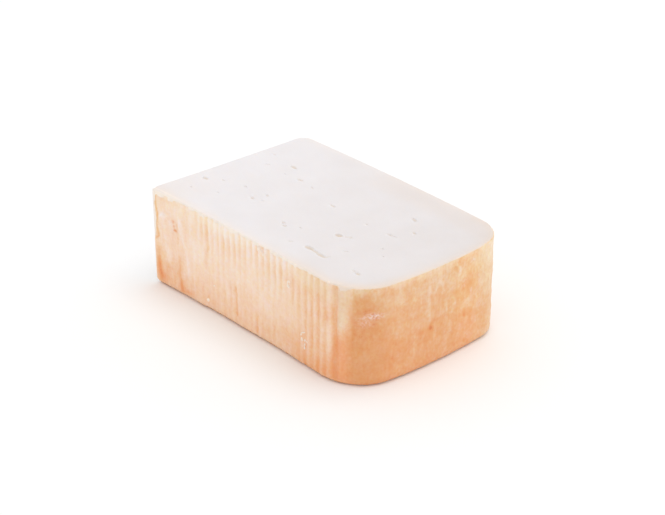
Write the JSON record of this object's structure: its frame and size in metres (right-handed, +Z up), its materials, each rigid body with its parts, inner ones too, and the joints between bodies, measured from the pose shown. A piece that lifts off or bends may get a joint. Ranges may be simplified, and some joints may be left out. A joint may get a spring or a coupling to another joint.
{
  "type": "taleggio cheese",
  "caption": "Piece of washed-rind soft cheese cut from the corner of a square cheese, standing on its rind, with a white cut face on top, ribbed rind along both sides and a rounded heel end.",
  "frame": {"origin": "middle of the underside, which is the rind it stands on (centre of the bounding box, at its lowest height)", "axes": "+X along the ribbed sides, from the cut end to the rounded heel end; -Y towards the near ribbed side; +Z up, out of the white cut face"},
  "size_m": [0.1034, 0.0684, 0.0355],
  "materials": {
    "cheese": "matt washed rind, cream on the ribs and peach-orange in the grooves and on the heel, with smooth white paste on the cut faces"
  },
  "bodies": {
    "root": {"taleggio": "cheese"}
  },
  "joints": []
}
